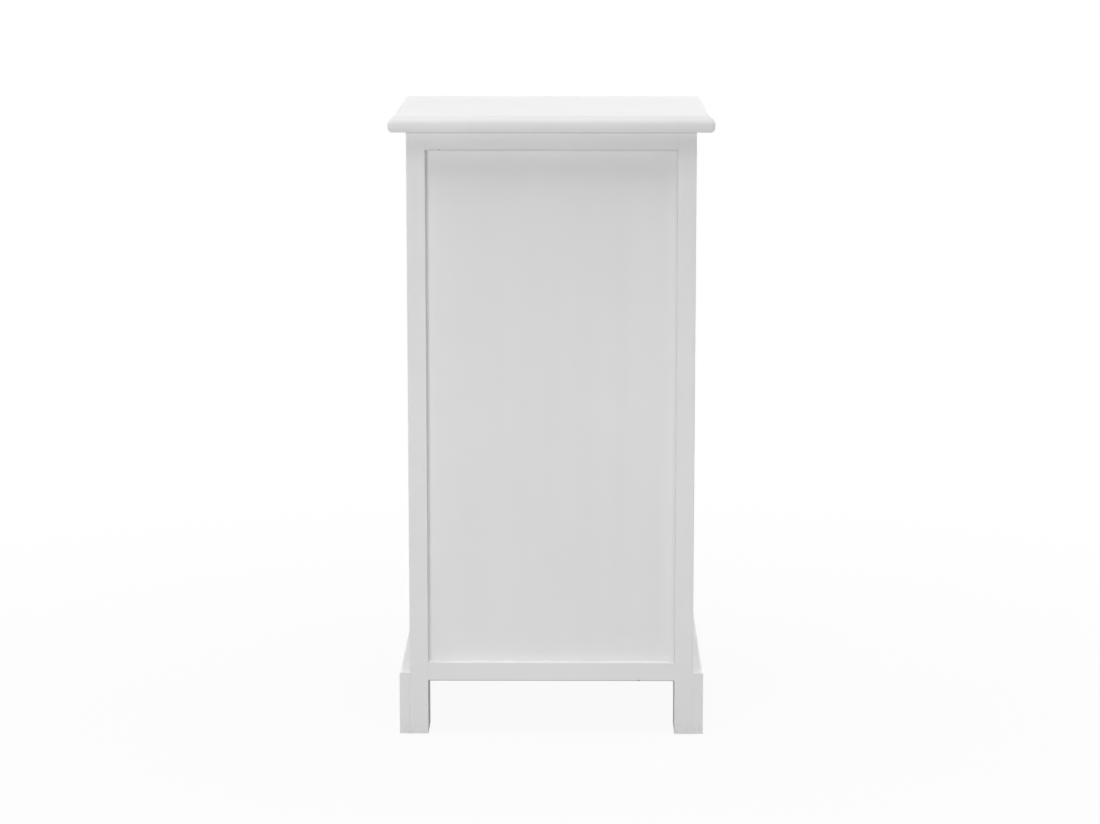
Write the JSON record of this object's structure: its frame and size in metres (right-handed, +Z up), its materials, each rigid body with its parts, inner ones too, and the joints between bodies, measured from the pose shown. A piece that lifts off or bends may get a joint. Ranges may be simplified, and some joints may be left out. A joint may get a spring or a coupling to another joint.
{
  "type": "nightstand",
  "caption": "Tall narrow bedside cabinet with a rounded top board, framed panels, a plinth with bracket feet and a stack of drawers on wooden runners.",
  "frame": {"origin": "on the floor, under the middle of the top board", "axes": "+Z up, -Y towards the drawer fronts, +Y towards the back, +X to the right of someone who faces the drawers"},
  "size_m": [0.4, 0.35, 0.78],
  "materials": {
    "white_paint": "satin white paint on solid wood",
    "painted_panel": "satin white paint on thin board",
    "knob_paint": "smooth white lacquer on a turned knob",
    "pine": "planed pine, clear sealed",
    "plywood": "sanded thin plywood",
    "beech": "planed beech",
    "zinc_steel": "zinc-plated steel",
    "glide_plastic": "matt grey plastic"
  },
  "bodies": {
    "cabinet": {"top_panel": "white_paint", "left_front_leg": "white_paint", "left_rear_leg": "white_paint", "left_side_top_rail": "white_paint", "left_side_bottom_rail": "white_paint", "left_plinth": "white_paint", "left_side_panel": "painted_panel", "right_front_leg": "white_paint", "right_rear_leg": "white_paint", "right_side_top_rail": "white_paint", "right_side_bottom_rail": "white_paint", "right_plinth": "white_paint", "right_side_panel": "painted_panel", "front_plinth": "white_paint", "back_top_rail": "white_paint", "back_bottom_rail": "white_paint", "front_top_rail": "white_paint", "front_bottom_rail": "white_paint", "drawer_divider_1": "white_paint", "drawer_divider_2": "white_paint", "back_panel": "painted_panel", "bottom_panel": "plywood", "corner_blocks": "pine", "drawer_stops": "pine", "top_screws": "zinc_steel", "runner_screws": "zinc_steel", "frame_dowels": "beech", "foot_glides": "glide_plastic", "lower_left_runner": "beech", "lower_right_runner": "beech", "middle_left_runner": "beech", "middle_right_runner": "beech", "upper_left_runner": "beech", "upper_right_runner": "beech"},
    "lower_drawer": {"lower_drawer_front": "white_paint", "lower_drawer_back": "pine", "lower_drawer_left_side": "pine", "lower_drawer_right_side": "pine", "lower_drawer_bottom": "plywood", "lower_drawer_dowels": "beech", "lower_drawer_knob": "knob_paint", "lower_drawer_knob_screw": "zinc_steel"},
    "middle_drawer": {"middle_drawer_front": "white_paint", "middle_drawer_back": "pine", "middle_drawer_left_side": "pine", "middle_drawer_right_side": "pine", "middle_drawer_bottom": "plywood", "middle_drawer_dowels": "beech", "middle_drawer_knob": "knob_paint", "middle_drawer_knob_screw": "zinc_steel"},
    "upper_drawer": {"upper_drawer_front": "white_paint", "upper_drawer_back": "pine", "upper_drawer_left_side": "pine", "upper_drawer_right_side": "pine", "upper_drawer_bottom": "plywood", "upper_drawer_dowels": "beech", "upper_drawer_knob": "knob_paint", "upper_drawer_knob_screw": "zinc_steel"}
  },
  "joints": [
    {"name": "lower_drawer_slide", "type": "slide", "parent": "cabinet", "child": "lower_drawer", "axis": [0, -1, 0], "range_m": [0, 0.2]},
    {"name": "middle_drawer_slide", "type": "slide", "parent": "cabinet", "child": "middle_drawer", "axis": [0, -1, 0], "range_m": [0, 0.2]},
    {"name": "upper_drawer_slide", "type": "slide", "parent": "cabinet", "child": "upper_drawer", "axis": [0, -1, 0], "range_m": [0, 0.2]}
  ]
}
